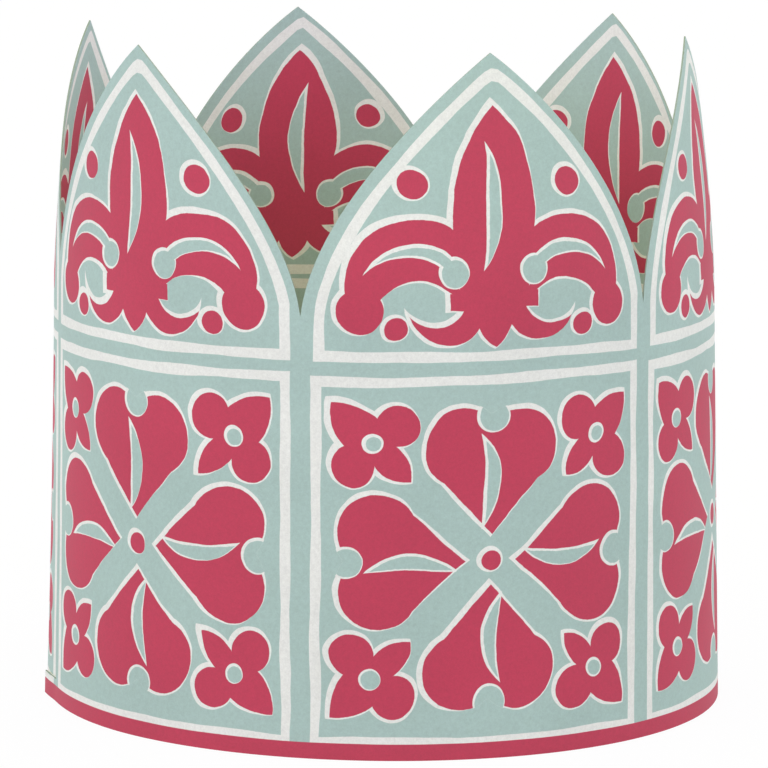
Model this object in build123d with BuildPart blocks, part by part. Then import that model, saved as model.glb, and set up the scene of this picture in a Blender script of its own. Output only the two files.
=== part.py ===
from build123d import *
from math import cos, degrees, pi, radians, sin
import os

# A paper crown: one printed card strip, die-cut to a row of pointed arches, rolled to a ring and
# lapped at its ends. Millimetres, +Z up, standing on z = 0 with the ring's axis on the Z axis.
# Turns are in degrees round the ring, seen from above: 0 is the front (-Y) and 90 is +X.

# The cut strip
panel_count = 6
panel_width = 95.0
crown_height = 177.0
notch_height = 112.5
card_thickness = 0.4

# Each side of an arch is one curve, from almost upright at its notch to flatter at its tip.
# The slopes are in degrees off upright, and the pulls are shares of the arch's rise.
notch_slope = 6.0
notch_pull = 0.46
tip_slope = 55.0
tip_pull = 0.23

# The rolled ring is round at its foot, and drawn out towards the tips to an oval, which is
# longest through the notch at the left of the front panel
oval_growth = 5.7

# Round the lap, where the card is double and stiff, the ring is drawn in. This is deepest at the
# foot, a few degrees behind the lap, and fades up to the notches and to both sides
lap_draw = 1.1
draw_behind = 8.0
draw_spread = 38.0

# How far each tip curls in, from the front panel round to the right
tip_curl = [8.4, 5.7, 1.2, 7.9, 3.0, 1.8]
curl_power = 1.5

# How many steps a level slice of card is drawn in, and how many level bands the upright card
# and the curl above it
slice_steps = 4
wall_bands = 3
curl_bands = 3

# The lap of the strip's ends: a tall flap glued inside, and a short low foot lapped outside,
# whose free end stands off the ring
flap_length = 24.0
flap_drop = 4.0
flap_corner = 6.0
foot_height = 6.0
foot_length = 12.0
foot_lift = 0.7

ring_radius = panel_count * panel_width / (2 * pi)
half_card = card_thickness / 2
panel_turn = 360 / panel_count
panel_turns = [panel * panel_turn for panel in range(panel_count)]
oval_turn = -panel_turn / 2
lap_turn = -panel_turn - panel_turn / 2
wall_heights = [notch_height * band / wall_bands for band in range(wall_bands)]


def along_ring(length):
    """The turn that a length of card covers."""
    return degrees(length / ring_radius)


def panel_span(turn):
    """The turns of the two edges of the panel at a turn."""
    return turn - panel_turn / 2, turn + panel_turn / 2


def facing(turn):
    """The upright plane through the ring's axis that looks outwards at a turn."""
    return Plane(
        origin=(0, 0, 0),
        x_dir=(cos(radians(turn)), sin(radians(turn)), 0),
        z_dir=(sin(radians(turn)), -cos(radians(turn)), 0),
    )


def drawn_in(turn, height):
    """How far the ring is drawn in by its lap: one wave over the spread on each side of its middle."""
    off = (turn - lap_turn + draw_behind + 180) % 360 - 180
    near = min(abs(off) / draw_spread, 1.0)
    share = min(height / notch_height, 1.0)
    return lap_draw * (1 - share**2) * (1 + cos(pi * near)) / 2


def on_ring(turn, height, out=0.0):
    """The point at a turn and a height on the card's middle surface, moved outwards by out."""
    swell = oval_growth * height / crown_height * cos(radians(2 * (turn - oval_turn)))
    radius = ring_radius + swell - drawn_in(turn, height) + out
    return radius * sin(radians(turn)), -radius * cos(radians(turn))


def card_section(span, height, inner, outer, curl=0.0):
    """A level slice of card between two turns, from inner to outer off its middle surface."""
    first, last = span
    turns = [first + (last - first) * step / slice_steps for step in range(slice_steps + 1)]
    middle = radians((first + last) / 2)
    with BuildSketch(Plane((-curl * sin(middle), curl * cos(middle), height))) as section:
        with BuildLine():
            outside = Spline(*[on_ring(turn, height, outer) for turn in turns])
            inside = Spline(*[on_ring(turn, height, inner) for turn in turns])
            Line(outside @ 0, inside @ 0)
            Line(outside @ 1, inside @ 1)
        make_face()
    return section.sketch


def arch_side(side, turn):
    """One side of an arch as seen straight on, drawn inside a BuildLine, from its notch to its tip."""
    edge_x, edge_y = on_ring(turn + side * panel_turn / 2, notch_height)
    reach = edge_x * cos(radians(turn)) + edge_y * sin(radians(turn))
    rise = crown_height - notch_height
    leave = radians(notch_slope)
    arrive = radians(tip_slope)
    Bezier(
        (reach, notch_height),
        (reach - side * notch_pull * rise * sin(leave), notch_height + notch_pull * rise * cos(leave)),
        (side * tip_pull * rise * sin(arrive), crown_height - tip_pull * rise * cos(arrive)),
        (0, crown_height),
    )
    return reach, notch_height


def make_panel(turn, curl):
    """One panel of the strip: upright to its notches, then an arch that curls in towards its tip."""
    far = 2 * ring_radius
    rise = crown_height - notch_height
    with BuildPart() as sheet:
        for height in wall_heights:
            add(card_section(panel_span(turn), height, -half_card, half_card))
        for band in range(curl_bands + 1):
            share = band / curl_bands
            height = notch_height + share * rise
            add(card_section(panel_span(turn), height, -half_card, half_card, curl * share**curl_power))
        loft(ruled=True)
        with BuildSketch(facing(turn)):
            with BuildLine():
                left_notch = arch_side(-1, turn)
                right_notch = arch_side(1, turn)
                Polyline(left_notch, (-far, notch_height), (-far, 0), (far, 0), (far, notch_height), right_notch)
            make_face()
        extrude(amount=far, mode=Mode.INTERSECT)
    return sheet.part


def make_flap():
    """The strip's end, glued inside the lap, with its two free corners cut off."""
    turn = lap_turn + along_ring(flap_length / 2)
    reach = ring_radius * sin(radians(turn - lap_turn))
    low = foot_height
    high = notch_height - flap_drop
    span = (lap_turn, lap_turn + along_ring(flap_length))
    between = [height for height in wall_heights if low < height < high]
    with BuildPart() as flap:
        for height in (low, *between, high):
            add(card_section(span, height, -half_card - card_thickness, 0))
        loft(ruled=True)
        with BuildSketch(facing(turn)):
            Polygon(
                (-reach - flap_corner, low),
                (reach - flap_corner, low),
                (reach + flap_corner, low + 2 * flap_corner),
                (reach + flap_corner, high - 2 * flap_corner),
                (reach - flap_corner, high),
                (-reach - flap_corner, high),
                align=None,
            )
        extrude(amount=2 * ring_radius, mode=Mode.INTERSECT)
    return flap.part


def make_foot():
    """The low foot of the strip's other end, which leaves the lap outside the panel behind it."""
    shares = [step / slice_steps for step in range(slice_steps + 1)]
    turns = [lap_turn - along_ring(foot_length * share) for share in shares]
    outer = [half_card + card_thickness + foot_lift * share**2 for share in shares]
    inner = [(half_card + foot_lift) * share**2 for share in shares]
    with BuildPart() as foot:
        for height in (0, foot_height):
            with BuildSketch(Plane.XY.offset(height)):
                with BuildLine():
                    outside = Spline(*[on_ring(turn, height, out) for turn, out in zip(turns, outer)])
                    inside = Spline(*[on_ring(turn, height, out) for turn, out in zip(turns, inner)])
                    Line(outside @ 0, inside @ 0)
                    Line(outside @ 1, inside @ 1)
                make_face()
        loft(ruled=True)
    return foot.part


# The crown, whose laps share their card with the panel that they are glued to
os.makedirs("parts", exist_ok=True)
with BuildPart() as crown_sheet:
    for panel, turn in enumerate(panel_turns):
        add(make_panel(turn, tip_curl[panel % len(tip_curl)]))
    add(make_flap())
    add(make_foot())

crown_sheet.part.label = "crown_sheet"
export_step(crown_sheet.part, "parts/crown_sheet.step")
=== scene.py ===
"""A paper crown: one strip of printed card, rolled to a ring and lapped, standing on a pale floor.

Lengths are millimetres up to the point where a mesh is filled, which is in metres. Turns are degrees
round the ring as seen from above: 0 is the front (-Y) and 90 is +X. A place on the flat strip is
given as along, the way round the ring, and up, the height over its foot. The floor and the lights
round the crown are in metres.
"""

import functools
import logging
import math
from collections.abc import Sequence
from dataclasses import dataclass, field
from enum import Enum

import bpy
import numpy as np
from mathutils import Euler, Matrix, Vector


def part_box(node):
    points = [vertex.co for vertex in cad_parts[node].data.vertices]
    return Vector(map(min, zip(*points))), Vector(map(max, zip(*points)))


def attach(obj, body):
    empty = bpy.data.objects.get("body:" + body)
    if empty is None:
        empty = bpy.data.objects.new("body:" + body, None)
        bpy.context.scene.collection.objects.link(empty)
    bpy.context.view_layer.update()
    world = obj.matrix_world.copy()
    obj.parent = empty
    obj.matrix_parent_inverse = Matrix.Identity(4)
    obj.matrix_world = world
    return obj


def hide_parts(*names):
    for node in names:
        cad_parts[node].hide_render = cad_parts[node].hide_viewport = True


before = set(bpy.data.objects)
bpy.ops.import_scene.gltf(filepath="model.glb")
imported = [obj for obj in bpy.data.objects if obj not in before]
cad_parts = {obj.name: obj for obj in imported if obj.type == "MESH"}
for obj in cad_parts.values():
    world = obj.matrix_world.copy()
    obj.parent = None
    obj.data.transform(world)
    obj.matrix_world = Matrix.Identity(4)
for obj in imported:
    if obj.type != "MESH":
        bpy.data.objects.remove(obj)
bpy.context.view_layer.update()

MM = 0.001
# The third component of a place on the card's inside face. It is 0 on the outside face
INSIDE_PRINT = 100.0
# Points along each side of a printed arch, and the rounds in which a turn settles
OUTLINE_POINTS = 40
SETTLE_ROUNDS = 8
# Edges that bend by more than this stay sharp, in degrees
SHARP_TURN = 30.0
WHITE = (1.0, 1.0, 1.0, 1.0)

Rgb = tuple[int, int, int]

log = logging.getLogger("paper_crown")


class Face(Enum):
    """The two printed faces of the card, each with its side of the middle surface."""

    OUTSIDE = 1
    INSIDE = -1


class Carried(Enum):
    """What the mesh carries for the print: each point's place on the strip, and how far in it lies."""

    PLACE = "flat_place"
    ARCH_GAP = "arch_gap"


class Printing(Enum):
    """How much of the print a stretch of card bears."""

    FULL = "printed_card"
    GROUND = "plain_ground"


def inside_of(outline: np.ndarray, x: np.ndarray, z: np.ndarray) -> np.ndarray:
    """Distance from places to the nearest side of an outline that they all lie within.

    Args:
        outline: The outline's points, shape (n, 2).
        x: First coordinate of the places.
        z: Second coordinate of the places, of the same shape.

    Returns:
        The distance at each place.
    """
    start, side = outline[:-1], np.diff(outline, axis=0)
    gap_x = x.reshape(-1, 1) - start[:, 0]
    gap_z = z.reshape(-1, 1) - start[:, 1]
    share = np.clip((gap_x * side[:, 0] + gap_z * side[:, 1]) / (side**2).sum(axis=1), 0.0, 1.0)
    return np.hypot(gap_x - share * side[:, 0], gap_z - share * side[:, 1]).min(axis=1).reshape(x.shape)


@dataclass(frozen=True)
class Register:
    """How the print lies on one face: its slip along and up of the cut, and its arch's rounded tip."""

    slip_x: float
    slip_up: float
    tip_round: float


@dataclass
class CardStrip:
    """The flat strip and the way it is rolled: a circle, drawn in at its lap, that grows to an oval above.

    The slopes, draw_behind and draw_spread are degrees, the pulls are shares of an arch's rise, and
    the rest is millimetres.
    """

    panel_count: int = 6
    panel_width: float = 95.0
    notch_height: float = 112.5
    thickness: float = 0.4
    notch_slope: float = 6.0
    notch_pull: float = 0.46
    tip_slope: float = 55.0
    tip_pull: float = 0.23
    oval_growth: float = 5.7
    lap_draw: float = 1.1
    draw_behind: float = 8.0
    draw_spread: float = 38.0
    tip_curl: tuple[float, ...] = (8.4, 5.7, 1.2, 7.9, 3.0, 1.8)
    curl_power: float = 1.5
    outside_print: Register = Register(0.5, 0.5, 2.4)
    inside_print: Register = Register(-1.27, 0.9, 0.8)
    height: float = field(init=False)

    def __post_init__(self) -> None:
        """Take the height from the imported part."""
        low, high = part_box("crown_sheet")
        self.height = (high[2] - low[2]) / MM

    @property
    def radius(self) -> float:
        """Radius of the ring at its foot."""
        return self.panel_count * self.panel_width / (2.0 * math.pi)

    @property
    def panel_turn(self) -> float:
        """Turn that one panel covers."""
        return 360.0 / self.panel_count

    @property
    def lap_turn(self) -> float:
        """Turn of the lap, at the left edge of the front-left panel."""
        return -1.5 * self.panel_turn

    def turn_of(self, length: float) -> float:
        """Turn that a length of card covers at the foot."""
        return math.degrees(length / self.radius)

    def flat(self, turn: np.ndarray) -> np.ndarray:
        """Length of card that a turn covers at the foot."""
        return turn * self.panel_width / self.panel_turn

    def drawn_in(self, turn: np.ndarray, up: np.ndarray) -> np.ndarray:
        """How far the ring is drawn in by its stiff lap.

        It is one cosine wave over the spread on each side of its middle, and it fades by the square
        of the height's share of the notches.

        Args:
            turn: Turns round the ring.
            up: Heights, of the same shape.

        Returns:
            The depth at each place.
        """
        off = (turn - self.lap_turn + self.draw_behind + 180.0) % 360.0 - 180.0
        near = np.minimum(np.abs(off) / self.draw_spread, 1.0)
        share = np.minimum(up / self.notch_height, 1.0)
        return self.lap_draw * (1.0 - share**2) * (1.0 + np.cos(np.pi * near)) / 2.0

    def radius_at(self, turn: np.ndarray, up: np.ndarray) -> np.ndarray:
        """Radius of the middle surface: the foot's and a swell with the height, less the lap's draw."""
        oval = np.cos(np.radians(2.0 * (turn + self.panel_turn / 2.0)))
        return self.radius + self.oval_growth * up / self.height * oval - self.drawn_in(turn, up)

    def panel_of(self, turn: np.ndarray) -> np.ndarray:
        """Number of the panel at a turn, with the front panel as 0."""
        return np.floor(turn / self.panel_turn + 0.5).astype(int)

    def curl_at(self, turn: np.ndarray, up: np.ndarray) -> np.ndarray:
        """How far the card has curled in: none up to the notch, then a power of the share above it.

        Args:
            turn: Turns round the ring.
            up: Heights, of the same shape.

        Returns:
            The curl at each place.
        """
        share = np.clip((up - self.notch_height) / (self.height - self.notch_height), 0.0, None)
        curl = np.asarray(self.tip_curl)[self.panel_of(turn) % self.panel_count]
        return curl * share**self.curl_power

    def place(self, turn: np.ndarray, up: np.ndarray, out: np.ndarray | float) -> np.ndarray:
        """Roll places of the strip: out along the radius, then in by the curl along the panel's facing.

        Args:
            turn: Turns round the ring.
            up: Heights, of the same shape.
            out: How far outside the middle surface.

        Returns:
            The points, with a last axis of x, y and z.
        """
        radius = self.radius_at(turn, up) + out
        curl = self.curl_at(turn, up)
        facing = np.radians(self.panel_of(turn) * self.panel_turn)
        x = radius * np.sin(np.radians(turn)) - curl * np.sin(facing)
        y = curl * np.cos(facing) - radius * np.cos(np.radians(turn))
        return np.stack([x, y, up + 0.0 * turn], axis=-1)

    def arch_side(self, side: int, panel: int, share: np.ndarray) -> tuple[np.ndarray, np.ndarray]:
        """One side of a panel's arch: a Bezier curve as seen straight on, turned into places on the card.

        The turn whose sine times the radius gives the curve's reach is found in rounds, because the
        radius depends on the turn.

        Args:
            side: -1 for the left side and 1 for the right.
            panel: Number of the panel.
            share: Shares of the curve's own parameter, from 0 at the notch to 1 at the tip.

        Returns:
            The turns off the panel's middle and the heights.
        """
        middle = panel * self.panel_turn
        edge = middle + side * self.panel_turn / 2.0
        notch = np.asarray(self.notch_height)
        half_turn = math.radians(self.panel_turn / 2.0)
        reach = float(self.radius_at(np.asarray(edge), notch)) * math.sin(half_turn)
        rise = self.height - self.notch_height
        leave, arrive = math.radians(self.notch_slope), math.radians(self.tip_slope)
        leaving, arriving = self.notch_pull * rise, self.tip_pull * rise
        across = np.array([reach, reach - leaving * math.sin(leave), arriving * math.sin(arrive), 0.0])
        upward = np.array([0.0, leaving * math.cos(leave), rise - arriving * math.cos(arrive), rise])
        rest = 1.0 - share
        weights = np.stack([rest**3, 3.0 * rest**2 * share, 3.0 * rest * share**2, share**3])
        reach_at, up = across @ weights, self.notch_height + upward @ weights
        turn = side * np.degrees(np.arcsin(np.clip(reach_at / self.radius, -1.0, 1.0)))
        for _ in range(SETTLE_ROUNDS):
            radius = self.radius_at(middle + turn, up)
            turn = side * np.degrees(np.arcsin(np.clip(reach_at / radius, -1.0, 1.0)))
        return turn, up

    def arch_gap(self, turn: np.ndarray, up: np.ndarray, register: Register) -> np.ndarray:
        """Distance from places on the flat card in to their panel's arch, as the printer laid it.

        The printed arch has slipped a little off the cut one. Its two sides meet in a rounded tip:
        the lesser of their distances, less a share that fades as they part.

        Args:
            turn: Turns round the ring.
            up: Heights, of the same shape.
            register: How the print lies on this face.

        Returns:
            The distance at each place.
        """
        gap = np.zeros(turn.shape)
        share = np.linspace(0.0, 1.0, OUTLINE_POINTS)
        panel = self.panel_of(turn)
        for number in np.unique(panel):
            here = panel == number
            across = self.flat(turn[here] - number * self.panel_turn) - register.slip_x
            sides = []
            for side in (-1, 1):
                edge, height = self.arch_side(side, int(number), share)
                outline = np.stack([self.flat(np.append(edge[0], edge)), np.append(0.0, height)], axis=1)
                sides.append(inside_of(outline, across, up[here] - register.slip_up))
            left, right = sides
            near = np.clip(1.0 - np.abs(left - right) / register.tip_round, 0.0, None)
            gap[here] = np.minimum(left, right) - register.tip_round / 4.0 * near**2
        return gap


@dataclass
class SheetMesh:
    """Points, quads, materials and flat places of the card, gathered plate by plate."""

    bulge: float = 0.05
    points: list[np.ndarray] = field(default_factory=list)
    quads: list[np.ndarray] = field(default_factory=list)
    slots: list[np.ndarray] = field(default_factory=list)
    places: list[np.ndarray] = field(default_factory=list)
    gaps: list[np.ndarray] = field(default_factory=list)

    @staticmethod
    def patch(rows: np.ndarray) -> np.ndarray:
        """The quads between neighbours of a grid of point numbers, wound the way its two axes turn."""
        corners = [rows[:-1, :-1], rows[1:, :-1], rows[1:, 1:], rows[:-1, 1:]]
        return np.stack(corners, axis=-1).reshape(-1, 4)

    def add_plate(
        self, strip: CardStrip, turn: np.ndarray, up: np.ndarray, out: np.ndarray, slot: int
    ) -> None:
        """Add one closed plate of card: two faces and a slightly rounded cut edge all round.

        The faces are the middle surface moved half a card each way, and the edge's middle line is the
        rim moved outwards by bulge.

        Args:
            strip: The rolled strip.
            turn: Turns of the plate's grid, columns by rows.
            up: Heights of the grid.
            out: How far outside the middle surface the plate lies.
            slot: Number of the faces' material. The cut edge's is 0.
        """
        first = sum(len(points) for points in self.points)
        half = strip.thickness / 2.0
        outer, inner = (strip.place(turn, up, out + face.value * half).reshape(-1, 3) for face in Face)
        number = np.arange(turn.size).reshape(turn.shape)
        rim = np.concatenate([number[:, 0], number[-1, 1:], number[-2::-1, -1], number[0, -2:0:-1]])
        middle = strip.place(turn, up, out).reshape(-1, 3)[rim]
        ahead, behind = np.roll(middle, -1, 0), np.roll(middle, 1, 0)
        away = np.cross(ahead - behind, outer[rim] - middle)
        away /= np.linalg.norm(away, axis=1, keepdims=True)
        self.points += [outer, inner, middle + self.bulge * away]
        outer_rim = np.append(rim, rim[0])
        inner_rim = outer_rim + turn.size
        edge_rim = np.append(np.arange(len(rim)), 0) + 2 * turn.size
        new = [
            self.patch(number),
            self.patch(number + turn.size)[:, ::-1],
            self.patch(np.stack([edge_rim, outer_rim])),
            self.patch(np.stack([inner_rim, edge_rim])),
        ]
        self.quads += [quads + first for quads in new]
        self.slots += [np.full(len(quads), slot if index < 2 else 0) for index, quads in enumerate(new)]
        flat = np.stack([strip.flat(turn), up, 0.0 * up], axis=-1).reshape(-1, 3)
        gaps = [strip.arch_gap(turn, up, face).ravel() for face in (strip.outside_print, strip.inside_print)]
        self.places += [flat, flat + (0.0, 0.0, INSIDE_PRINT), flat[rim]]
        self.gaps += [*gaps, gaps[0][rim]]

    def make_object(self, name: str, materials: Sequence[bpy.types.Material]) -> bpy.types.Object:
        """Fill a Blender mesh with the plates.

        Args:
            name: The piece's name.
            materials: The materials, in the order of their slots.

        Returns:
            The piece, at the origin.
        """
        points, quads = np.concatenate(self.points), np.concatenate(self.quads)
        mesh = bpy.data.meshes.new(name)
        mesh.vertices.add(len(points))
        mesh.vertices.foreach_set("co", (points * MM).ravel())
        mesh.loops.add(quads.size)
        mesh.loops.foreach_set("vertex_index", quads.ravel().astype(np.int32))
        mesh.polygons.add(len(quads))
        mesh.polygons.foreach_set("loop_start", np.arange(0, quads.size, 4, dtype=np.int32))
        mesh.update(calc_edges=True)
        for material in materials:
            mesh.materials.append(material)
        mesh.polygons.foreach_set("material_index", np.concatenate(self.slots).astype(np.int32))
        mesh.polygons.foreach_set("use_smooth", np.ones(len(quads), bool))
        place = mesh.attributes.new(Carried.PLACE.value, "FLOAT_VECTOR", "POINT")
        place.data.foreach_set("vector", np.concatenate(self.places).astype(np.float32).ravel())
        gap = mesh.attributes.new(Carried.ARCH_GAP.value, "FLOAT", "POINT")
        gap.data.foreach_set("value", np.concatenate(self.gaps).astype(np.float32))
        mesh.set_sharp_from_angle(angle=math.radians(SHARP_TURN))
        mesh.validate()
        piece = bpy.data.objects.new(name, mesh)
        bpy.context.scene.collection.objects.link(piece)
        return piece


@dataclass
class PrintedSheet:
    """The crown's one piece: the rolled strip, its glued flap and the low foot lapped outside.

    The strip's faces stop short of its foot and its top by the trim, which the cut edge's bulge
    makes up.
    """

    strip: CardStrip
    columns: int = 32
    rows: int = 60
    flap_columns: int = 16
    flap_rows: int = 24
    foot_columns: int = 24
    foot_rows: int = 8
    fine_steps: int = 400
    flap_length: float = 24.0
    flap_drop: float = 4.0
    flap_corner: float = 6.0
    foot_height: float = 6.0
    foot_length: float = 12.0
    foot_lift: float = 0.7
    lap_step: float = 9.0
    trim: float = 0.05

    def panel_columns(self, panel: int) -> tuple[np.ndarray, np.ndarray]:
        """Turns and top heights of a panel's columns, spread evenly over its width and its edge alike.

        Args:
            panel: Number of the panel.

        Returns:
            The turns and the heights, from the left notch to just before the right one.
        """
        fine = np.linspace(0.0, 1.0, self.fine_steps)
        turns, tops = [], []
        for side in (-1, 1):
            turn, up = self.strip.arch_side(side, panel, fine)
            step = np.hypot(self.strip.flat(np.diff(turn)), np.diff(up))
            edge = np.concatenate([[0.0], np.cumsum(step)])
            width = np.abs(turn - turn[0])
            measure = edge / edge[-1] + width / width[-1]
            share = np.interp(np.linspace(0.0, measure[-1], self.columns + 1), measure, fine)
            turn, up = self.strip.arch_side(side, panel, share)
            turns.append(turn if side < 0 else turn[::-1])
            tops.append(up if side < 0 else up[::-1])
        turn = np.concatenate([turns[0], turns[1][1:-1]]) + panel * self.strip.panel_turn
        return turn, np.concatenate([tops[0], tops[1][1:-1]])

    def body_grid(self) -> tuple[np.ndarray, np.ndarray, np.ndarray]:
        """Grid of the six panels from the lap round to the lap. The last end steps in, to pass inside.

        Returns:
            The turns, the heights and how far outside the middle surface.
        """
        first = 2 - self.strip.panel_count // 2
        sides = [self.panel_columns(panel) for panel in range(first, first + self.strip.panel_count)]
        last = np.array([self.strip.lap_turn + 360.0])
        turn = np.concatenate([turns for turns, _ in sides] + [last])
        top = np.concatenate([tops for _, tops in sides] + [[self.strip.notch_height]])
        share = np.linspace(0.0, 1.0, self.rows + 1)
        up = self.trim + (top[:, None] - 2.0 * self.trim) * share
        turn = np.broadcast_to(turn[:, None], up.shape)
        left = (turn - last) / self.strip.turn_of(self.lap_step)
        return turn, up, -self.strip.thickness * self.ease(1.0 + left)

    @staticmethod
    def ease(share: np.ndarray) -> np.ndarray:
        """A smooth step from 0 to 1, as the card bends over an edge and back."""
        inside = np.clip(share, 0.0, 1.0)
        return inside**2 * (3.0 - 2.0 * inside)

    def flap_grid(self) -> tuple[np.ndarray, np.ndarray, np.ndarray]:
        """Grid of the flap inside the lap, with its two free corners cut off.

        Returns:
            The turns, the heights and how far outside the middle surface.
        """
        share = np.linspace(0.0, 1.0, self.flap_columns + 1)
        turn = self.strip.lap_turn + 360.0 + share * self.strip.turn_of(self.flap_length)
        corner = np.clip(self.flap_corner - (1.0 - share) * self.flap_length, 0.0, None)
        low = self.foot_height + corner
        high = self.strip.notch_height - self.flap_drop - corner
        up = low[:, None] + (high - low)[:, None] * np.linspace(0.0, 1.0, self.flap_rows + 1)
        turn = np.broadcast_to(turn[:, None], up.shape)
        return turn, up, np.full(up.shape, -self.strip.thickness)

    def foot_grid(self) -> tuple[np.ndarray, np.ndarray, np.ndarray]:
        """Grid of the low foot, which climbs onto the outside of the panel behind the lap.

        Its free end stands off the panel, by the lift times the square of the share of its length.

        Returns:
            The turns, the heights and how far outside the middle surface.
        """
        share = np.linspace(1.0, 0.0, self.foot_columns + 1)
        turn = self.strip.lap_turn - share * self.strip.turn_of(self.foot_length)
        up = np.linspace(self.trim, self.foot_height, self.foot_rows + 1) + 0.0 * turn[:, None]
        turn = np.broadcast_to(turn[:, None], up.shape)
        climb = self.ease((self.strip.lap_turn - turn) / self.strip.turn_of(self.lap_step))
        return turn, up, self.strip.thickness * climb + self.foot_lift * share[:, None] ** 2

    def build(
        self, materials: dict[Printing, bpy.types.Material], edge: bpy.types.Material
    ) -> bpy.types.Object:
        """Make the sheet.

        Args:
            materials: The faces' materials, by how much print they bear.
            edge: The cut edge's material.

        Returns:
            The finished piece.
        """
        order = list(materials)
        grids = {Printing.FULL: [self.body_grid(), self.foot_grid()], Printing.GROUND: [self.flap_grid()]}
        sheet = SheetMesh()
        for printing, plates in grids.items():
            for turn, up, out in plates:
                sheet.add_plate(self.strip, turn, up, out, 1 + order.index(printing))
        return sheet.make_object("printed_sheet", [edge, *materials.values()])


class Number:
    """A number inside a shader. Arithmetic on it adds Math nodes."""

    def __init__(self, shader: "Shader", socket: bpy.types.NodeSocket) -> None:
        """Wrap an output socket."""
        self.shader = shader
        self.socket = socket

    def math(self, operation: str, *values: "Number | float") -> "Number":
        """Add one Math node to this number's shader, which works on the given values."""
        node = self.shader.node("ShaderNodeMath", {"operation": operation}, dict(enumerate(values)))
        return Number(self.shader, node.outputs[0])

    def __add__(self, other: "Number | float") -> "Number":
        """Sum."""
        return self.math("ADD", self, other)

    __radd__ = __add__

    def __sub__(self, other: "Number | float") -> "Number":
        """Difference."""
        return self.math("SUBTRACT", self, other)

    def __rsub__(self, other: float) -> "Number":
        """Difference from a plain number."""
        return self.math("SUBTRACT", other, self)

    def __mul__(self, other: "Number | float") -> "Number":
        """Product."""
        return self.math("MULTIPLY", self, other)

    __rmul__ = __mul__

    def __neg__(self) -> "Number":
        """The number turned round: a shape becomes what lies outside it."""
        return self.math("MULTIPLY", self, -1.0)

    def __abs__(self) -> "Number":
        """The number without its sign."""
        return self.math("ABSOLUTE", self)

    def sign(self) -> "Number":
        """The sign alone."""
        return self.math("SIGN", self)

    def over(self, other: "Number | float") -> "Number":
        """1 where this is the greater, and 0 elsewhere."""
        return self.math("GREATER_THAN", self, other)

    def within(self, soft: float) -> "Number":
        """1 where this distance is negative, 0 where it is positive, and a smooth step between.

        Args:
            soft: How far the step reaches to each side of zero.

        Returns:
            The share.
        """
        settings = {"interpolation_type": "SMOOTHSTEP"}
        values = {"Value": self, "From Min": soft, "From Max": -soft, "To Min": 0.0, "To Max": 1.0}
        return Number(self.shader, self.shader.node("ShaderNodeMapRange", settings, values).outputs[0])


def least(first: Number, *others: "Number | float") -> Number:
    """The least of several numbers: a shape made of all of theirs."""
    return functools.reduce(lambda one, other: one.math("MINIMUM", one, other), others, first)


def most(first: Number, *others: "Number | float") -> Number:
    """The greatest of several numbers: the shape that all of theirs share."""
    return functools.reduce(lambda one, other: one.math("MAXIMUM", one, other), others, first)


Input = Number | bpy.types.NodeSocket | float | tuple[float, ...]


class Shader:
    """The node tree of one material or world."""

    def __init__(self, owner: bpy.types.Material | bpy.types.World) -> None:
        """Empty the owner's tree.

        Args:
            owner: The material or world.
        """
        owner.use_nodes = True
        self.tree = owner.node_tree
        self.tree.nodes.clear()

    def node(self, kind: str, settings: dict[str, object], values: dict[str | int, Input]) -> bpy.types.Node:
        """Add one node.

        Args:
            kind: The node's type.
            settings: The node's own settings, which are set first.
            values: A value or a link for each input, by its name or number.

        Returns:
            The node.
        """
        node = self.tree.nodes.new(kind)
        for name, value in settings.items():
            setattr(node, name, value)
        for key, value in values.items():
            value = value.socket if isinstance(value, Number) else value
            if isinstance(value, bpy.types.NodeSocket):
                self.tree.links.new(value, node.inputs[key])
            else:
                node.inputs[key].default_value = value
        return node

    def carried(self, what: Carried, output: str) -> bpy.types.NodeSocket:
        """Read what the mesh carries."""
        return self.node("ShaderNodeAttribute", {"attribute_name": what.value}, {}).outputs[output]

    def mix(self, share: Input, base: Input, top: Input) -> bpy.types.NodeSocket:
        """Lay one colour over another."""
        return self.node("ShaderNodeMix", {"data_type": "RGBA"}, {0: share, 6: base, 7: top}).outputs[2]

    def vector(self, operation: str, *values: Input) -> bpy.types.NodeSocket:
        """Work on vectors with one Vector Math node."""
        node = self.node("ShaderNodeVectorMath", {"operation": operation}, dict(enumerate(values)))
        return next(socket for socket in node.outputs if socket.enabled)

    def scaled(self, vector: Input, share: Input) -> bpy.types.NodeSocket:
        """A vector or colour times a number."""
        node = self.node("ShaderNodeVectorMath", {"operation": "SCALE"}, {0: vector, "Scale": share})
        return node.outputs[0]

    def noise(self, place: Input, scale: float, detail: float, roughness: float = 0.5) -> bpy.types.Node:
        """Noise over a place, about a half."""
        values = {"Vector": place, "Scale": scale, "Detail": detail, "Roughness": roughness}
        return self.node("ShaderNodeTexNoise", {"noise_dimensions": "3D"}, values)


@dataclass(frozen=True)
class Disc:
    """A round cut: its middle on the flat card and its radius. x below 0 on a folded place makes a leaf."""

    x: float
    z: float
    radius: float


@dataclass(frozen=True)
class Line:
    """A straight cut: its heading off the x axis, in degrees, and its reach from the origin."""

    heading: float
    reach: float


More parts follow.
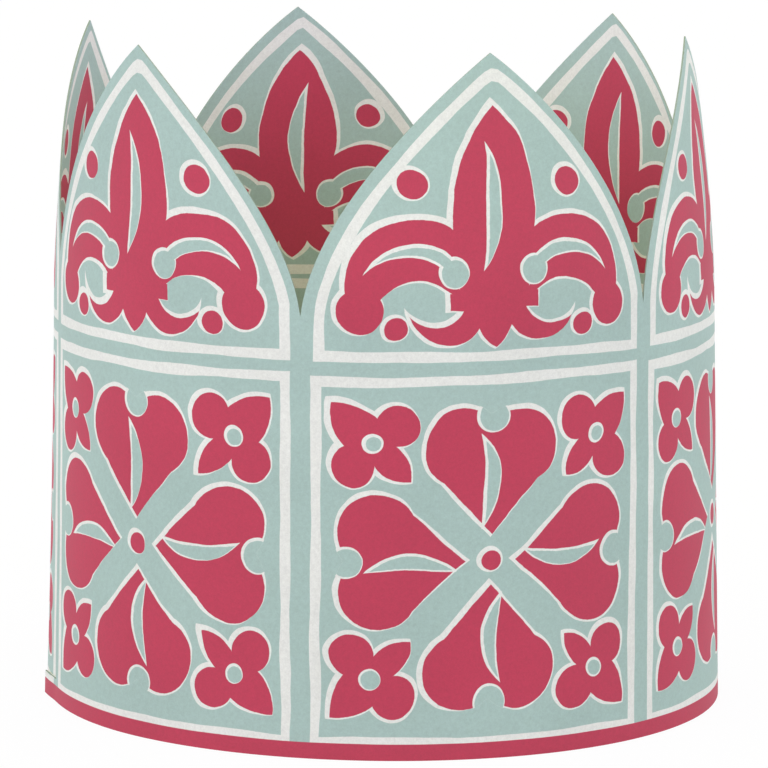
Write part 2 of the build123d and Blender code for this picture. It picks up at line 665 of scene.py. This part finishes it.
class Place:
    """A place on the flat card inside a shader: x across and z up, in millimetres."""

    def __init__(self, x: Number, z: Number) -> None:
        """Join the two numbers to a vector.

        Args:
            x: How far across the card.
            z: How far up it.
        """
        self.x = x
        self.z = z
        self.vector = x.shader.node("ShaderNodeCombineXYZ", {}, {0: x, 1: z}).outputs[0]

    def moved(self, x: float, z: float) -> "Place":
        """The place as seen from a pattern that has slipped the other way."""
        return Place(self.x + x, self.z + z)

    def folded(self) -> "Place":
        """The place with the left side folded onto the right."""
        return Place(abs(self.x), self.z)

    def outside(self, disc: Disc) -> Number:
        """Distance outside a disc: the distance to its middle less its radius."""
        shader = self.x.shader
        return Number(shader, shader.vector("DISTANCE", self.vector, (disc.x, disc.z, 0.0))) - disc.radius

    def beyond(self, line: Line) -> Number:
        """Distance beyond a line: the place's length along its heading less its reach.

        Args:
            line: The line.

        Returns:
            The distance, which is negative on the near side.
        """
        shader = self.x.shader
        turn = math.radians(line.heading)
        along = shader.vector("DOT_PRODUCT", self.vector, (math.cos(turn), math.sin(turn), 0.0))
        return Number(shader, along) - line.reach


@dataclass(frozen=True)
class Fleur:
    """The fleur-de-lis in an arch: a spear, two curled petals, a band, three tails and four berries."""

    spear: Disc = Disc(-23.4, 139.3, 34.4)
    petal: Disc = Disc(20.0, 120.2, 16.6)
    petal_bite: Disc = Disc(19.0, 109.0, 12.2)
    petal_root: Line = Line(0.0, 3.4)
    petal_floor: Line = Line(90.0, 115.2)
    petal_curl: Disc = Disc(33.2, 113.8, 5.6)
    band_height: float = 116.2
    band_half: float = 2.1
    band_reach: float = 11.5
    tail: Disc = Disc(-4.6, 113.0, 9.4)
    hook: Disc = Disc(12.2, 115.2, 9.6)
    hook_bite: Disc = Disc(15.6, 118.2, 8.4)
    low_berry: Disc = Disc(24.6, 109.2, 2.9)
    high_berry: Disc = Disc(20.2, 145.2, 3.5)
    spine: Disc = Disc(-24.8, 139.5, 27.0)
    spine_back: Disc = Disc(-165.3, 139.5, 163.2)
    rib: Disc = Disc(20.0, 117.4, 13.4)
    rib_back: Disc = Disc(21.8, 112.8, 14.4)
    rib_root: Line = Line(0.0, 9.0)
    bead: Disc = Disc(10.2, 123.4, 3.9)

    def shape(self, place: Place) -> Number:
        """Distance outside the red shapes. A petal or a hooked tail is its disc less its bite.

        Args:
            place: The place off the panel's middle.

        Returns:
            The distance.
        """
        half = place.folded()
        petal = most(
            half.outside(self.petal),
            -half.outside(self.petal_bite),
            -half.beyond(self.petal_root),
            -half.beyond(self.petal_floor),
        )
        band = most(abs(half.z - self.band_height) - self.band_half, half.x - self.band_reach)
        hook = most(half.outside(self.hook), -half.outside(self.hook_bite), half.z - self.band_height)
        round_cuts = (self.spear, self.tail, self.petal_curl, self.low_berry, self.high_berry)
        return least(petal, band, hook, *(half.outside(disc) for disc in round_cuts))

    def slits(self, place: Place) -> Number:
        """Distance outside the open slits: sickles, each one disc less another, and round beads.

        Args:
            place: The place off the panel's middle.

        Returns:
            The distance.
        """
        half = place.folded()
        spine = most(place.outside(self.spine), -place.outside(self.spine_back))
        rib = most(half.outside(self.rib), -half.outside(self.rib_back), -half.beyond(self.rib_root))
        return least(spine, rib, half.outside(self.bead))


@dataclass(frozen=True)
class Rosette:
    """The rosette in a tile: four heart petals round a boss, and a four-leaved sprig in each corner."""

    middle: float = 51.0
    lobe: Disc = Disc(7.6, 28.5, 9.8)
    flank: Line = Line(-42.6, -4.5)
    flank_end: Line = Line(47.4, 26.09)
    boss: Disc = Disc(0.0, 0.0, 2.7)
    sprig_tip: Disc = Disc(-7.5, 46.0, 12.9)
    sprig_side: Disc = Disc(7.4, 41.6, 5.4)
    sprig_stem: Disc = Disc(-6.4, 36.5, 9.9)
    slit: Disc = Disc(-13.5, 20.0, 15.8)
    slit_back: Disc = Disc(-70.9, 20.0, 68.9)
    bead: Disc = Disc(0.0, 36.4, 4.4)
    sprig_bead: Disc = Disc(0.0, 42.6, 2.6)

    def quarter(self, place: Place) -> Place:
        """Fold the tile's eight parts onto one: the lesser and the greater of the ways across and up."""
        across, rise = abs(place.x), abs(place.z - self.middle)
        return Place(least(across, rise), most(across, rise))

    @staticmethod
    def diagonal(quarter: Place) -> Place:
        """Turn a folded place by an eighth, so that z runs out to the tile's corner."""
        root = math.sqrt(0.5)
        return Place((quarter.z - quarter.x) * root, (quarter.z + quarter.x) * root)

    def petal_place(self, place: Place) -> Place:
        """Turn the four petals onto the upper one without mirroring, so that its slit bends one way.

        Args:
            place: The place off the panel's middle.

        Returns:
            The place as the upper petal has it, with z out from the rosette's middle.
        """
        rise = place.z - self.middle
        upright = abs(rise).over(abs(place.x))
        off = upright * place.x * rise.sign() - (1.0 - upright) * rise * place.x.sign()
        return Place(off, most(abs(place.x), abs(rise)))

    def shape(self, place: Place) -> Number:
        """Distance outside the red shapes. A heart is two discs and the wedge that touches them both.

        Args:
            place: The place off the panel's middle.

        Returns:
            The distance.
        """
        quarter = self.quarter(place)
        diagonal = self.diagonal(quarter)
        wedge = most(quarter.beyond(self.flank), quarter.beyond(self.flank_end))
        sprig = (diagonal.outside(disc) for disc in (self.sprig_tip, self.sprig_side, self.sprig_stem))
        return least(quarter.outside(self.lobe), wedge, quarter.outside(self.boss), *sprig)

    def slits(self, place: Place) -> Number:
        """Distance outside the open slits: a sickle in each petal, and round beads.

        Args:
            place: The place off the panel's middle.

        Returns:
            The distance.
        """
        quarter = self.quarter(place)
        petal = self.petal_place(place)
        sickle = most(petal.outside(self.slit), -petal.outside(self.slit_back))
        return least(sickle, quarter.outside(self.bead), self.diagonal(quarter).outside(self.sprig_bead))


@dataclass(frozen=True)
class Borders:
    """The off-white lines: a closed frame in each arch and each tile, and the red band at the foot."""

    rim: float = 2.7
    line: float = 2.6
    reach: float = 45.0
    foot_band: float = 4.3
    arch_foot: float = 101.2
    tile_top: float = 97.9
    tile_foot: float = 3.4
    tilt: float = 0.011
    inside_drop: float = 1.1
    inside_rise: float = 0.8

    def outside(self, place: Place, gap: Number, width: Number, inside: Number) -> Number:
        """Distance outside the lines.

        Each frame's field is the least distance in from its sides, so its line is a band of that
        field and its corners are square. The greater of the arch's and the tile's serves for both.

        Args:
            place: The place off the panel's middle.
            gap: Distance in from the arched cut edge.
            width: How much wider the line is here.
            inside: 1 on the card's inside, where the two level lines lie closer, and 0 outside.

        Returns:
            The distance at each place.
        """
        side = self.reach - abs(place.x)
        arch = least(gap - self.rim, side, place.z + self.inside_drop * inside - self.arch_foot)
        top = self.tile_top + self.inside_rise * inside + self.tilt * place.x
        tile = least(side, top - place.z, place.z - self.tile_foot)
        middle = self.line / 2.0
        return abs(most(arch, tile) - middle) - (width + middle)


def linear(colour: Rgb) -> tuple[float, float, float, float]:
    """Turn a colour as it is seen on a screen into the linear values that Blender holds.

    Args:
        colour: Its red, green and blue, 0 to 255.

    Returns:
        Its red, green, blue and alpha, 0 to 1.
    """
    share = [part / 255.0 for part in colour]
    lit = [part / 12.92 if part <= 0.04045 else ((part + 0.055) / 1.055) ** 2.4 for part in share]
    return lit[0], lit[1], lit[2], 1.0


@dataclass(frozen=True)
class Mottle:
    """One layer of unevenness in the card: its noise, how far it shades the ink and how far it stands up."""

    scale: float
    detail: float
    roughness: float
    shade: float
    relief: float

    def spread(self, shader: Shader, place: Input) -> Number:
        """The noise over a place, about zero and a half each way."""
        return Number(shader, shader.noise(place, self.scale, self.detail, self.roughness).outputs[0]) - 0.5


@dataclass(frozen=True)
class PrintedFinish:
    """Flat inks on matt card, cut by hand and laid a little off register: sage, off-white, raspberry.

    The wobble and the nicks are how far the cuts stray, slow and quick. The straight lines keep a
    share of both.
    """

    panel_width: float = 95.0
    inside_slip: float = 1.27
    sage: Rgb = (170, 196, 189)
    raspberry: Rgb = (192, 59, 86)
    off_white: Rgb = (233, 235, 229)
    foot_red: Rgb = (190, 60, 85)
    wobble_scale: float = 0.055
    wobble_detail: float = 0.5
    wobble: float = 2.3
    nick_scale: float = 0.2
    nick_detail: float = 1.0
    nick: float = 0.5
    fray: float = 0.18
    straight: float = 0.4
    foot_wobble: float = 0.1
    keyline: float = 0.85
    keyline_swell: float = 0.8
    slip: tuple[float, float] = (0.45, -0.4)
    slit_slip: float = -0.5
    slit_line: float = 0.55
    slit_swell: float = 0.5
    soft: float = 0.07
    blotch: Mottle = Mottle(38.0, 3.0, 0.5, 0.18, 0.0)
    grain: Mottle = Mottle(900.0, 2.0, 0.6, 0.22, 0.5)
    fibre: Mottle = Mottle(2400.0, 3.0, 0.7, 0.3, 0.5)
    bump_strength: float = 0.12
    bump_depth: float = 0.00012
    roughness: float = 0.62
    roughness_change: float = 0.12
    specular: float = 0.42

    def material(self, printing: Printing) -> bpy.types.Material:
        """Build a printed face's material.

        Args:
            printing: How much of the print it bears.

        Returns:
            The material.
        """
        material = bpy.data.materials.new(printing.value)
        shader = Shader(material)
        place = shader.node("ShaderNodeTexCoord", {}, {}).outputs["Object"]
        layers = (self.blotch, self.grain, self.fibre)
        blotch, grain, fibre = (layer.spread(shader, place) for layer in layers)
        colour: Input = linear(self.sage)
        if printing is Printing.FULL:
            colour = self.inked(shader, colour, grain)
        tone = 1.0 + blotch * self.blotch.shade + grain * self.grain.shade + fibre * self.fibre.shade
        relief = grain * self.grain.relief + fibre * self.fibre.relief
        bumps = {"Strength": self.bump_strength, "Distance": self.bump_depth, "Height": relief}
        values = {
            "Base Color": shader.scaled(colour[:3] if isinstance(colour, tuple) else colour, tone),
            "Roughness": self.roughness + grain * self.roughness_change,
            "Normal": shader.node("ShaderNodeBump", {}, bumps).outputs[0],
            "Specular IOR Level": self.specular,
        }
        surface = shader.node("ShaderNodeBsdfPrincipled", {}, values)
        shader.node("ShaderNodeOutputMaterial", {}, {"Surface": surface.outputs[0]})
        return material

    @staticmethod
    def drift(shader: Shader, place: Input, scale: float, detail: float, size: float) -> bpy.types.NodeSocket:
        """How far a cut strays over a place: noise in three ways about zero, times its size."""
        stray = shader.vector("SUBTRACT", shader.noise(place, scale, detail).outputs[1], (0.5, 0.5, 0.5))
        return shader.scaled(stray, size)

    def inked(self, shader: Shader, ground: Input, grain: Number) -> bpy.types.NodeSocket:
        """Lay the inks over the ground, one shape after another.

        The off-white keyline is the red shapes grown by its width and slipped a little, with the red
        over it. The slits show the ground inside an off-white line, on the print alone.

        Args:
            shader: The material's tree.
            ground: The ground's colour.
            grain: The paper's grain, which frays the edges.

        Returns:
            The colour.
        """
        flat = shader.carried(Carried.PLACE, "Vector")
        slow = self.drift(shader, flat, self.wobble_scale, self.wobble_detail, self.wobble)
        quick = self.drift(shader, flat, self.nick_scale, self.nick_detail, self.nick)
        split = shader.node("ShaderNodeSeparateXYZ", {}, {0: flat})
        along, up = (Number(shader, split.outputs[axis]) for axis in (0, 1))
        inside = Number(shader, split.outputs[2]).over(INSIDE_PRINT / 2.0)
        laid = along + inside * self.inside_slip
        across = laid.math("WRAP", laid, self.panel_width / 2.0, -self.panel_width / 2.0)
        shift = shader.node("ShaderNodeSeparateXYZ", {}, {0: shader.vector("ADD", slow, quick)})
        shift_x, shift_z, swell = (Number(shader, shift.outputs[axis]) for axis in (0, 1, 2))
        cut = Place(across + shift_x, up + shift_z)
        slip_x, slip_z = self.slip
        slipped = cut.moved(slip_x, slip_z)
        veined = cut.moved(self.slit_slip * slip_x, self.slit_slip * slip_z)
        gap = Number(shader, shader.carried(Carried.ARCH_GAP, "Fac"))
        straight = Place(across + shift_x * self.straight, up + shift_z * self.straight)
        fray = grain * self.fray
        fleur, rosette, borders = Fleur(), Rosette(), Borders()
        border = borders.outside(straight, gap, swell * self.straight, inside) + fray
        ink = least(fleur.shape(cut), rosette.shape(cut)) + fray
        grown = swell * self.keyline_swell + self.keyline
        keyline = least(fleur.shape(slipped), rosette.shape(slipped)) - grown + fray
        slit = least(fleur.slits(cut), rosette.slits(cut)) + fray
        shrunk = swell * self.slit_swell + self.slit_line
        vein = least(fleur.slits(veined), rosette.slits(veined)) + shrunk + fray
        in_keyline = keyline.within(self.soft)
        in_print = (least(keyline, ink) - 2.0 * self.soft).within(self.soft)
        white = linear(self.off_white)
        colour = shader.mix(border.within(self.soft), ground, white)
        colour = shader.mix(in_keyline, colour, white)
        colour = shader.mix(ink.within(self.soft), colour, linear(self.raspberry))
        colour = shader.mix(in_print * slit.within(self.soft), colour, white)
        colour = shader.mix(in_print * vein.within(self.soft), colour, ground)
        foot = up - borders.foot_band + shift_z * self.foot_wobble
        return shader.mix(foot.within(self.soft), colour, linear(self.foot_red))


@dataclass(frozen=True)
class CutEdgeFinish:
    """The card's bare core where it was cut: grey-green pulp with a fine fibre, painted darker than the pale
    pulp as shade on the thin edge.
    """

    # The edge's colour: the pulp's own colour, painted darker as shade on the thin cut edge.
    shaded_core: Rgb = (150, 163, 154)
    fibre: Mottle = Mottle(1800.0, 3.0, 0.7, 0.16, 1.0)
    bump_strength: float = 0.3
    bump_depth: float = 0.0001
    roughness: float = 0.85

    def material(self) -> bpy.types.Material:
        """Build the cut edge's material.

        Returns:
            The material.
        """
        material = bpy.data.materials.new("card_edge")
        shader = Shader(material)
        place = shader.node("ShaderNodeTexCoord", {}, {}).outputs["Object"]
        fibre = self.fibre.spread(shader, place)
        # This colour carries the painted shade of the thin edge as well as the pulp's own colour.
        shaded_pulp = shader.scaled(linear(self.shaded_core)[:3], 1.0 + fibre * self.fibre.shade)
        relief = fibre * self.fibre.relief
        bumps = {"Strength": self.bump_strength, "Distance": self.bump_depth, "Height": relief}
        bump = shader.node("ShaderNodeBump", {}, bumps)
        values = {"Base Color": shaded_pulp, "Roughness": self.roughness, "Normal": bump.outputs[0]}
        surface = shader.node("ShaderNodeBsdfPrincipled", {}, values)
        shader.node("ShaderNodeOutputMaterial", {}, {"Surface": surface.outputs[0]})
        return material


@dataclass
class Studio:
    """A white table that runs out of sight, a ring of light round it, a dim warm dome, and a lamp.

    Its lengths are metres. Its colours are as Blender holds them.
    """

    floor_radius: float = 8.0
    floor_corners: int = 64
    floor_bounce: tuple[float, float, float] = (0.32, 0.3, 0.42)
    floor_glow: float = 0.84
    glow_level: float = 1.13
    dome: tuple[float, float, float] = (0.71, 0.82, 0.18)
    ring: tuple[float, float, float] = (2.1, 1.76, 3.75)
    ring_width: float = 0.3
    white: float = 1.02
    lamp_place: tuple[float, float, float] = (-2.2, -1.2, 0.9)
    lamp_size: float = 1.6
    lamp_power: float = 6.6
    lamp_tint: tuple[float, float, float] = (1.0, 0.93, 0.84)
    lamp_aim: tuple[float, float, float] = (0.0, 0.0, 0.09)

    def build(self) -> None:
        """Make the floor, the world and the lamp."""
        self.floor()
        self.world()
        self.lamp()

    def floor(self) -> None:
        """Make a round floor. What the camera sees of it is lifted towards white."""
        turn = np.linspace(0.0, 2.0 * np.pi, self.floor_corners + 1)[:-1]
        rim = self.floor_radius * np.stack([np.cos(turn), np.sin(turn), 0.0 * turn], axis=1)
        mesh = bpy.data.meshes.new("floor")
        mesh.from_pydata(rim.tolist(), [], [list(range(len(rim)))])
        floor = bpy.data.objects.new("floor", mesh)
        bpy.context.scene.collection.objects.link(floor)
        material = bpy.data.materials.new("floor")
        shader = Shader(material)
        matt = shader.node("ShaderNodeBsdfDiffuse", {}, {"Color": (*self.floor_bounce, 1.0)})
        glow = shader.node("ShaderNodeEmission", {}, {"Color": WHITE, "Strength": self.glow_level})
        share = self.seen(shader) * self.floor_glow
        mixed = shader.node("ShaderNodeMixShader", {}, {0: share, 1: matt.outputs[0], 2: glow.outputs[0]})
        shader.node("ShaderNodeOutputMaterial", {}, {"Surface": mixed.outputs[0]})
        mesh.materials.append(material)

    @staticmethod
    def seen(shader: Shader) -> Number:
        """1 for rays from the camera, of gloss or through clear matter, and 0 for light that scatters.

        Args:
            shader: The tree to read the kind of ray in.

        Returns:
            The share.
        """
        path = shader.node("ShaderNodeLightPath", {}, {})
        names = ("Is Camera Ray", "Is Glossy Ray", "Is Transmission Ray")
        camera, gloss, clear = (Number(shader, path.outputs[name]) for name in names)
        return least(camera + gloss + clear, 1.0)

    def world(self) -> None:
        """Make the world: plain white where it is seen. Where it lights, a dome and a ring round it.

        The ring is brightest level with the floor, and fades by e for each ring_width of the height
        of the light's way.
        """
        world = bpy.data.worlds.new("studio")
        bpy.context.scene.world = world
        shader = Shader(world)
        way = shader.node("ShaderNodeTexCoord", {}, {}).outputs["Generated"]
        height = Number(shader, shader.node("ShaderNodeSeparateXYZ", {}, {0: way}).outputs[2])
        fade = height * (-1.0 / self.ring_width)
        light = shader.vector("ADD", shader.scaled(self.ring, fade.math("EXPONENT", fade)), self.dome)
        lit = shader.node("ShaderNodeBackground", {}, {"Color": light})
        white = shader.node("ShaderNodeBackground", {}, {"Color": WHITE, "Strength": self.white})
        values = {0: self.seen(shader), 1: lit.outputs[0], 2: white.outputs[0]}
        mixed = shader.node("ShaderNodeMixShader", {}, values)
        shader.node("ShaderNodeOutputWorld", {}, {"Surface": mixed.outputs[0]})

    def lamp(self) -> None:
        """Make a square lamp that faces the crown's middle."""
        data = bpy.data.lights.new("left_lamp", "AREA")
        data.size = self.lamp_size
        data.energy = self.lamp_power
        data.color = self.lamp_tint
        lamp = bpy.data.objects.new("left_lamp", data)
        lamp.location = self.lamp_place
        away = np.array(self.lamp_aim) - np.array(self.lamp_place)
        lamp.rotation_euler = (
            math.acos(-away[2] / np.linalg.norm(away)),
            0.0,
            math.atan2(away[1], away[0]) - math.pi / 2.0,
        )
        bpy.context.scene.collection.objects.link(lamp)


@dataclass(frozen=True)
class Viewpoint:
    """The camera as solved from the picture: its place round the ring, its fall and its long lens.

    Its distance and height are millimetres, its fall and roll are radians, and its clip is metres.
    """

    turn: float = -17.27
    distance: float = 1194.8
    height: float = 261.9
    fall: float = 0.1496
    roll: float = 0.0109
    lens: float = 211.67
    sensor: float = 36.0
    clip: float = 50.0

    def build(self) -> None:
        """Make the camera and set it as the scene's."""
        data = bpy.data.cameras.new("camera")
        data.lens = self.lens
        data.sensor_width = self.sensor
        data.clip_end = self.clip
        camera = bpy.data.objects.new("camera", data)
        turn = math.radians(self.turn)
        camera.location = (
            self.distance * MM * math.sin(turn),
            -self.distance * MM * math.cos(turn),
            self.height * MM,
        )
        aim = Euler((math.pi / 2.0 - self.fall, 0.0, turn)).to_matrix()
        camera.rotation_euler = (aim @ Matrix.Rotation(self.roll, 3, "Z")).to_euler()
        bpy.context.scene.collection.objects.link(camera)
        bpy.context.scene.camera = camera


def main() -> None:
    """Build the crown and its studio, and report each piece."""
    logging.basicConfig(level=logging.INFO, format="%(name)s: %(message)s")
    bpy.context.scene.view_settings.view_transform = "Standard"
    finish = PrintedFinish()
    faces = {printing: finish.material(printing) for printing in Printing}
    sheet = PrintedSheet(CardStrip()).build(faces, CutEdgeFinish().material())
    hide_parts("crown_sheet")
    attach(sheet, "root")
    log.info("%s: %d faces", sheet.name, len(sheet.data.polygons))
    Studio().build()
    Viewpoint().build()
    log.info("studio and camera are in place")


if __name__ == "__main__":
    main()
